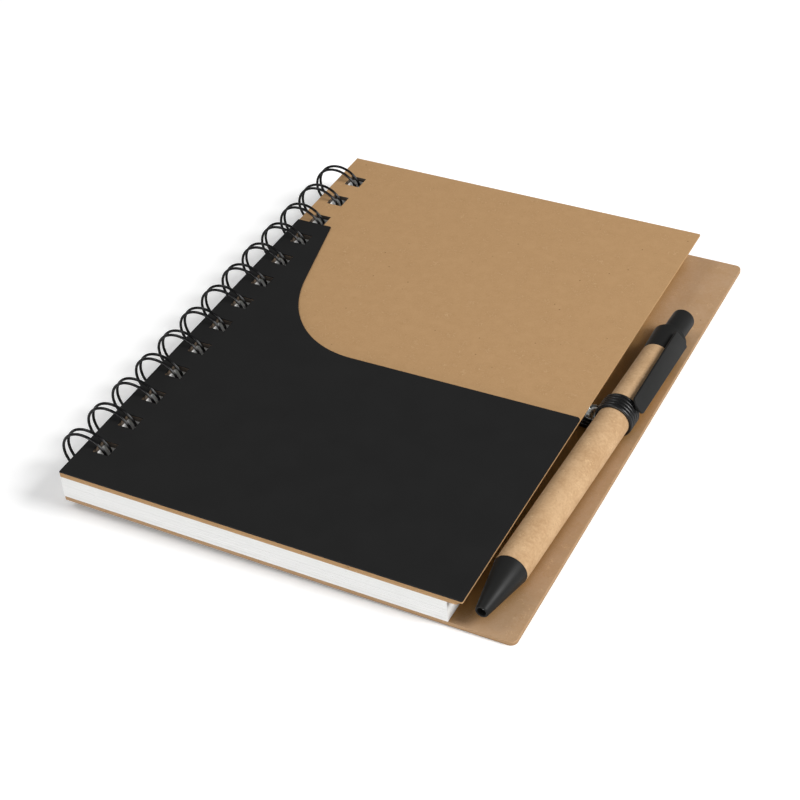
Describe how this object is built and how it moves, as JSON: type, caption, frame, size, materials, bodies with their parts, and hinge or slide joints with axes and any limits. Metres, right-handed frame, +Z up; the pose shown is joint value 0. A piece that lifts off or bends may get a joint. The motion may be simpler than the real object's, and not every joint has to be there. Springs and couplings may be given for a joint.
{
  "type": "wire-bound notebook with pen",
  "caption": "Wire-bound kraft notebook with a black card panel on the front, a wider back cover, and a click pen held in an elastic loop.",
  "frame": {"origin": "middle of the object's bounding box, at its lowest plane, which the wire loops touch", "axes": "+Y along the spine, +X from the spine towards the fore-edge and the pen, +Z up out of the front cover"},
  "size_m": [0.1519, 0.18, 0.0169],
  "materials": {
    "kraft_board": "uncoated kraft board",
    "black_card": "smooth matt black card",
    "page_paper": "uncoated white paper",
    "black_wire": "semi-gloss plastic-coated steel wire",
    "black_elastic": "ribbed woven elastic",
    "bright_metal": "bright nickel plate",
    "kraft_tube": "rolled kraft paper tube",
    "black_plastic": "fine matt moulded plastic",
    "white_plastic": "plain moulded plastic",
    "clear_plastic": "ink tube",
    "brass_tip": "turned brass",
    "spring_steel": "drawn wire"
  },
  "bodies": {
    "root": {"back_cover": "kraft_board", "wire_binding": "black_wire", "pen_loop": "black_elastic", "loop_rivet": "bright_metal", "pen_barrel": "kraft_tube", "pen_nose_cone": "black_plastic", "pen_clip_cap": "black_plastic", "pen_spring": "spring_steel"},
    "pages": {"page_block": "page_paper"},
    "cover": {"front_cover": "kraft_board", "cover_panel": "black_card"},
    "pen_click": {"pen_push_button": "black_plastic", "pen_cam": "white_plastic", "refill_tube": "clear_plastic", "refill_tip": "brass_tip", "refill_ball": "bright_metal"}
  },
  "joints": [
    {"name": "pages_hinge", "type": "hinge", "parent": "root", "child": "pages", "pos_m": [-0.06751, 0, 0.00846], "axis": [0, -1, 0], "range_deg": [0, 180]},
    {"name": "cover_hinge", "type": "hinge", "parent": "pages", "child": "cover", "pos_m": [-0.06751, 0, 0.00846], "axis": [0, -1, 0], "range_deg": [0, 180]},
    {"name": "pen_click_slide", "type": "slide", "parent": "root", "child": "pen_click", "axis": [-0.0343, -0.9994, 0], "range_m": [0, 0.0045], "stiffness_N_per_m": 300, "deforming": ["pen_spring"]}
  ]
}
